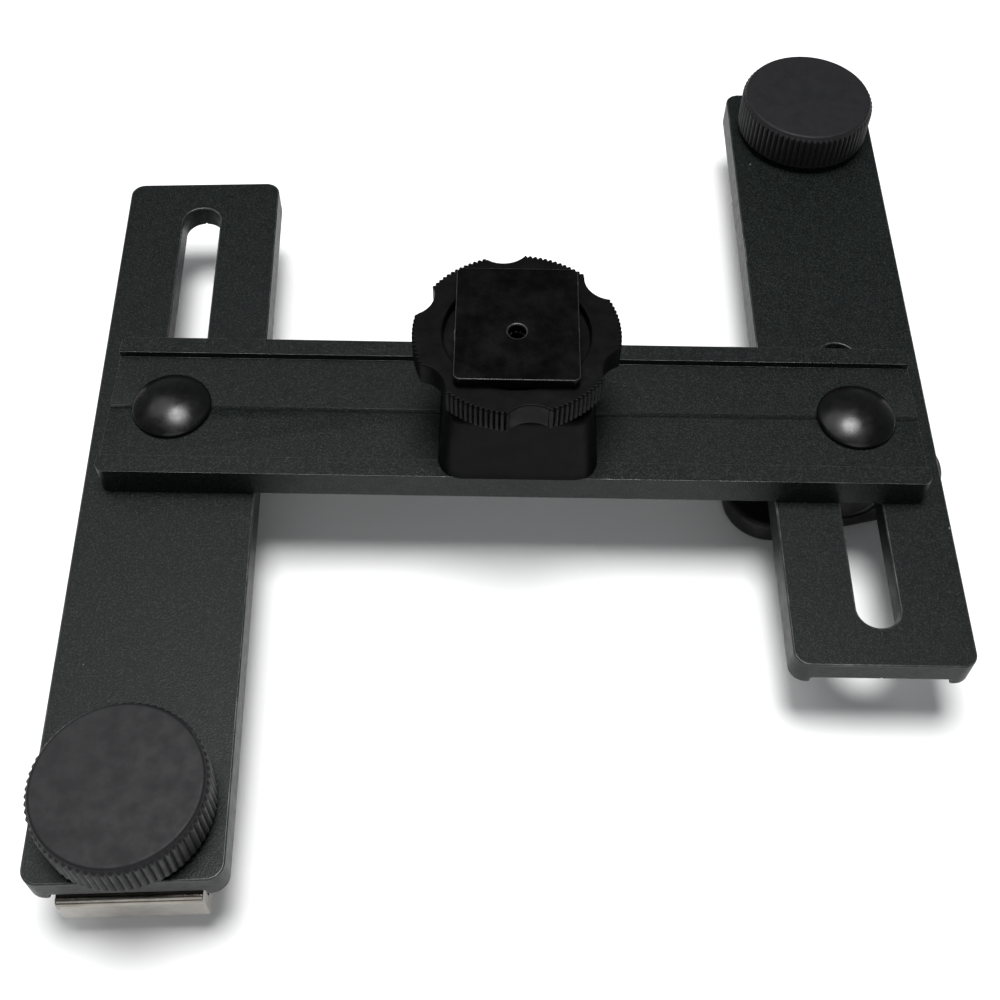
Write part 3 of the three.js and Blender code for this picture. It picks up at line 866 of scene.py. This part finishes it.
def make_pedestal_screw(side):
    """A countersunk screw with a cross recess in its head."""
    node = f"{side}_pedestal_screw"
    low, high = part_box(node)
    place = place_at(middle(node))
    head = (high.x - low.x) / 2
    cone = low.z + 1.6 * MM
    edge = 0.12 * MM
    profile = [(0, low.z), (head - edge, low.z), (head, low.z + edge), (BLOCK_SCREW_RADIUS, cone)]
    profile += thread_rows(BLOCK_SCREW_RADIUS, cone, high.z, BLOCK_SCREW_PITCH) + [(0, high.z)]
    thread = threaded(cone, high.z, BLOCK_SCREW_PITCH)
    piece = outward(loft(f"{side}_block_screw", held(profile), 48, [ZINC], place, thread))
    blade = rounded_rectangle(0.7 * MM, 3 * MM, 0.2 * MM, 2)
    for turn in (math.radians(45), math.radians(135)):
        tool_place = place @ Matrix.Rotation(turn, 4, "Z")
        combine(piece, solid(blade, low.z - PAST, low.z + 0.9 * MM, tool_place), "DIFFERENCE")
    finish_piece(shade_flats(piece), "rail", "zinc_steel", node)


# ---------------------------------------------------------------- clamps


def make_bolt(side):
    """A dome-headed bolt with a square neck and a threaded shank."""
    node = f"{side}_bolt"
    low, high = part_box(node)
    seat = bottom_of("rail") + WEB + RUNNING_GAP
    dome = (high.x - low.x) / 2
    rise = high.z - seat - BOLT_RIM
    sphere = (dome * dome + rise * rise) / (2 * rise)
    half_angle = math.degrees(math.asin(dome / sphere))
    neck_bottom = seat - BOLT_NECK_LENGTH
    tip = 0.6 * MM
    thread = threaded(low.z + tip, neck_bottom - 0.2 * MM, M6_PITCH)

    def section(r, z, angle):
        if neck_bottom < z < seat - 0.001 * MM and r > BOLT_RADIUS:
            return BOLT_NECK / 2 / max(abs(math.cos(angle)), abs(math.sin(angle)))
        return thread(r, z, angle)

    neck = BOLT_NECK / 2
    edge = 0.15 * MM
    profile = [(0, low.z), (BOLT_RADIUS - tip, low.z)]
    profile += thread_rows(BOLT_RADIUS, low.z + tip, neck_bottom - 0.1 * MM, M6_PITCH)
    profile += [(neck, neck_bottom + 0.02 * MM), (neck, seat - 0.02 * MM), (dome - edge, seat)]
    profile += [(dome, seat + edge), (dome, seat + BOLT_RIM - edge)]
    profile += arc((0, high.z - sphere), sphere, 90 - half_angle + 1, 89.9, 16)
    profile.append((0, high.z))
    place = place_at(middle(node))
    piece = outward(loft(f"{side}_dome_bolt", profile, 112, [BOLT_BLACK], place, section))
    finish_piece(shade_flats(piece), "rail", "bolt_black", node)


def stadium(half_width, angle):
    """How far the clamp knob's bar reaches from its middle, at an angle, for a half-width."""
    flat = (CLAMP_LENGTH - CLAMP_WIDTH) / 2
    across, along = abs(math.sin(angle)), abs(math.cos(angle))
    if across > 1e-9 and half_width / across * along <= flat:
        return half_width / across
    return flat * along + math.sqrt(max(0.0, half_width**2 - (flat * across) ** 2))


def make_clamp_knob(side):
    """A wing knob: a bar with round ends and edges, and a hub that holds the brass nut."""
    node = f"{side}_clamp_knob"
    low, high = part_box(node)
    half = CLAMP_WIDTH / 2
    hub = CLAMP_HUB_RADIUS
    socket = CLAMP_SOCKET_RADIUS
    socket_floor = high.z - CLAMP_SOCKET_DEPTH
    bar_top = high.z - CLAMP_HUB_HEIGHT
    lower, upper = 2.2 * MM, 1.2 * MM
    hub_edge, socket_edge = 0.5 * MM, 0.3 * MM

    def section(r, z, angle):
        return stadium(r, angle) if z <= bar_top + 0.001 * MM else r

    profile = [(0, low.z)] + arc((half - lower, low.z + lower), lower, -90, 0, 8)
    profile += arc((half - upper, bar_top - upper), upper, 0, 90, 6)
    profile += arc((hub + 0.6 * MM, bar_top + 0.62 * MM), 0.6 * MM, 270, 180, 4)
    profile += arc((hub - hub_edge, high.z - hub_edge), hub_edge, 0, 90, 4)
    profile += [(socket + socket_edge, high.z), (socket, high.z - socket_edge)]
    profile += [(socket, socket_floor), (0, socket_floor)]
    place = place_at(middle(node), CLAMP_TURN[side])
    piece = outward(loft(f"{side}_wing_knob", held(profile), 240, [CLAMP_PLASTIC], place, section))
    finish_piece(shade_flats(piece), node, "clamp_plastic", node)


# ---------------------------------------------------------------- flash shoes and their knobs


def make_shoe_knob(side):
    """A large round knob: a flat matt top, a rounded shoulder and straight ridges round its side."""
    node = f"{side}_shoe_knob"
    low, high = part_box(node)
    outer = (high.x - low.x) / 2
    shoulder = 0.5625 * MM
    foot = 0.5 * MM
    inset = 0.45 * MM

    def section(r, z, angle):
        from_top = (high.z - z) / MM - 0.55
        from_foot = (z - low.z) / MM
        strength = min(1.0, max(0.0, from_top / 0.5)) * min(1.0, max(0.0, from_foot / 0.5))
        if r < outer - 1.2 * MM:
            return r
        return r - KNOB_RIDGE_DEPTH * strength * (1 - abs(math.sin(KNOB_RIDGES * angle / 2)))

    bore = SCREW_RADIUS + SEAT_GAP
    top = outer - inset
    profile = [(bore, low.z), (6 * MM, low.z)]
    profile += arc((outer - foot, low.z + foot), foot, -90, 0, 4)
    profile += [(outer, low.z + 1.5 * MM + k * 1.2 * MM) for k in range(4)]
    profile += [(outer, high.z - 1.05 * MM), (outer - 0.1 * MM, high.z - 0.85 * MM)]
    profile += arc((top - shoulder, high.z - shoulder), shoulder, 12, 90, 6)
    profile += [(7 * MM, high.z), (0, high.z)]
    bore_top = high.z - 2.5 * MM
    columns = KNOB_RIDGES * 10
    place = place_at(middle(node))
    rows = held([(0, bore_top), (bore, bore_top)] + profile)
    piece = outward(loft(f"{side}_ridged_knob", rows, columns, [KNOB_PLASTIC], place, section))
    finish_piece(shade_flats(piece), node, "knob_plastic", node)


def make_knob_screw(side):
    """The knob's threaded stud, whose hexagonal head is moulded into the knob."""
    node = f"{side}_knob_screw"
    low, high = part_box(node)
    head_bottom = high.z - SCREW_HEAD_HEIGHT
    head = SCREW_HEAD_RADIUS
    tip = 0.5 * MM
    thread = threaded(low.z + tip, head_bottom - 1 * MM, M6_PITCH)

    def section(r, z, angle):
        if r > SCREW_RADIUS:
            turn = (angle + TAU / 12) % (TAU / 6) - TAU / 12
            return r * math.cos(TAU / 12) / math.cos(turn)
        return thread(r, z, angle)

    profile = [(0, low.z), (SCREW_RADIUS - tip, low.z)]
    profile += thread_rows(SCREW_RADIUS, low.z + tip, head_bottom - 0.9 * MM, M6_PITCH)
    profile += [(SCREW_RADIUS, head_bottom), (head, head_bottom), (head, high.z), (0, high.z)]
    piece = outward(loft(f"{side}_knob_stud", profile, 96, [ZINC], place_at(middle(node)), section))
    finish_piece(shade_flats(piece), f"{side}_shoe_knob", "zinc_steel", node)


def shoe_section(bottom, top):
    """The shoe's section as (y, z): a plate with a rolled wall along each side, open below."""
    outer = SHOE_INNER + SHOE_WALL
    mouth = SHOE_INNER - SHOE_LIP_REACH
    ceiling = top - SHOE_PLATE
    lip_top = ceiling - SHOE_CHANNEL
    roll = (lip_top - bottom) / 2
    half = [(SHOE_INNER, ceiling), (SHOE_INNER, lip_top)]
    half += arc((mouth + roll, bottom + roll), roll, 90, 270, 10)
    half += arc((outer - roll, bottom + roll), roll, -90, 0, 6)
    half += arc((outer - SHOE_ROUND, top - SHOE_ROUND), SHOE_ROUND, 0, 90, 6)
    return half + [(-y, z) for y, z in reversed(half)]


def make_shoe(side):
    node = f"{side}_shoe"
    low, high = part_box(node)
    turn = Matrix.Rotation(SHOE_TURN[side], 4, "Z")
    centre = place_at(middle(f"{side}_knob_washer"))
    place = centre @ arm_place(side).to_3x3().to_4x4() @ turn
    section = shoe_section(low.z, high.z)
    vertices, faces = prism(section, -SHOE_LENGTH / 2, SHOE_LENGTH / 2)
    vertices = [place @ Vector((x, y, z)) for y, z, x in vertices]
    piece = outward(mesh_object(f"{side}_flash_shoe", vertices, faces, [SHOE_CHROME]))
    hole = circle(SHOE_HOLE, 48)
    combine(piece, solid(hole, high.z - SHOE_PLATE - PAST, high.z + PAST, place), "DIFFERENCE")
    round_edges(piece, 0.22 * MM, 3, 50)
    finish_piece(shade_flats(piece), node, "shoe_chrome", node)


# ---------------------------------------------------------------- the object

STEM_BORE = STEM_RADIUS + RUNNING_GAP
SCREW_BORE = SCREW_RADIUS + RUNNING_GAP
BOLT_BORE = BOLT_RADIUS + RUNNING_GAP


def make_clamp_rings(side):
    washer = f"{side}_clamp_washer"
    ring(f"{side}_pressure_washer", washer, washer, "zinc_steel", BOLT_BORE)
    ring(f"{side}_clamp_bush", f"{side}_clamp_insert", f"{side}_clamp_knob", "insert_brass", BOLT_BORE)


def make_shoe_rings(side):
    washer = f"{side}_knob_washer"
    ring(f"{side}_under_knob_washer", washer, washer, "zinc_steel", SCREW_BORE)
    ring(f"{side}_staked_nut", f"{side}_shoe_nut", f"{side}_shoe", "zinc_steel", SCREW_BORE)


def make_channel_plates(side):
    """The guide plate round the bolt, and the block that fills the arm's channel above the shoe."""
    place = arm_place(side)
    guide = f"{side}_arm_guide"
    spacer = f"{side}_shoe_spacer"
    plate(f"{side}_guide_plate", guide, guide, "zinc_steel", place, BOLT_BORE)
    plate(f"{side}_channel_block", spacer, f"{side}_arm", "spacer_plastic", place, SCREW_BORE)


make_rail()
make_pedestal()
make_stem()
make_wheel()
make_foot()
ring("wheel_bush", "wheel_insert", "lock_wheel", "insert_brass", STEM_BORE)
ring("keyed_washer", "lock_washer", "lock_washer", "zinc_steel", STEM_BORE)
for side in SIDES:
    make_pedestal_screw(side)
    make_arm(side)
    make_bolt(side)
    make_clamp_knob(side)
    make_shoe_knob(side)
    make_knob_screw(side)
    make_shoe(side)
    make_clamp_rings(side)
    make_shoe_rings(side)
    make_channel_plates(side)


# ---------------------------------------------------------------- floor, light and camera


def make_floor():
    half = 3.0
    corners = [(-half, -half, 0), (half, -half, 0), (half, half, 0), (-half, half, 0)]
    f = Finish("floor_white", specular=0.2)
    colour = f.ramp(f.noise(3, 2), (0.3, (0.93, 0.93, 0.93)), (0.7, (0.95, 0.95, 0.95)))
    paper = f.done(colour, f.level(f.noise(5, 2), 0.75, 0.85), f.bump(f.noise(900, 2), 0.01 * MM, 0.1))
    mesh_object("floor", corners, [(0, 1, 2, 3)], [paper])


def area_light(name, position, target, size, power, colour=(1, 1, 1)):
    data = bpy.data.lights.new(name, "AREA")
    data.shape = "DISK"
    data.size = size
    data.energy = power
    data.color = colour
    light = bpy.data.objects.new(name, data)
    light.location = position
    light.rotation_euler = (Vector(position) - Vector(target)).to_track_quat("Z", "Y").to_euler()
    bpy.context.scene.collection.objects.link(light)


def make_lights():
    area_light("overhead", (0.0, 0.02, 0.75), (0, 0, 0), 0.34, 6.6)
    area_light("front_fill", (0.1, -1.3, 0.9), (0, 0, 0), 1.3, 4.5)
    area_light("ceiling", (-0.5, 0.3, 0.95), (0, 0, 0), 0.7, 2.2)
    world = bpy.data.worlds.new("studio")
    world.use_nodes = True
    background = world.node_tree.nodes["Background"]
    background.inputs["Color"].default_value = (0.93, 0.96, 1.0, 1)
    background.inputs["Strength"].default_value = 0.14
    bpy.context.scene.world = world
    bpy.context.scene.view_settings.view_transform = "Standard"


def make_camera():
    """The view: its place is worked from the rail's underside at the middle of the rail."""
    distance = 222.42 * MM
    tilt, roll, yaw = 0.604, -0.02265, 0.00817
    aim = Vector((-1.757 * MM, -11.549 * MM, 0))
    focal_share = 1.3857  # focal length over the frame's width
    shift = (-0.00245, -0.01446)
    rail = middle("rail")
    origin = Vector((rail.x, rail.y, bottom_of("rail")))
    turn = Matrix.Rotation(roll, 3, "Z") @ Matrix.Rotation(-tilt, 3, "X") @ Matrix.Rotation(yaw, 3, "Z")
    to_world = turn.transposed()
    place = origin + aim + to_world @ Vector((0, 0, distance))
    data = bpy.data.cameras.new("camera")
    data.sensor_width = 36
    data.lens = 36 * focal_share
    data.shift_x, data.shift_y = shift
    data.clip_start = 0.01
    camera = bpy.data.objects.new("camera", data)
    camera.matrix_world = Matrix.Translation(place) @ to_world.to_4x4()
    bpy.context.scene.collection.objects.link(camera)
    bpy.context.scene.camera = camera


make_floor()
make_lights()
make_camera()
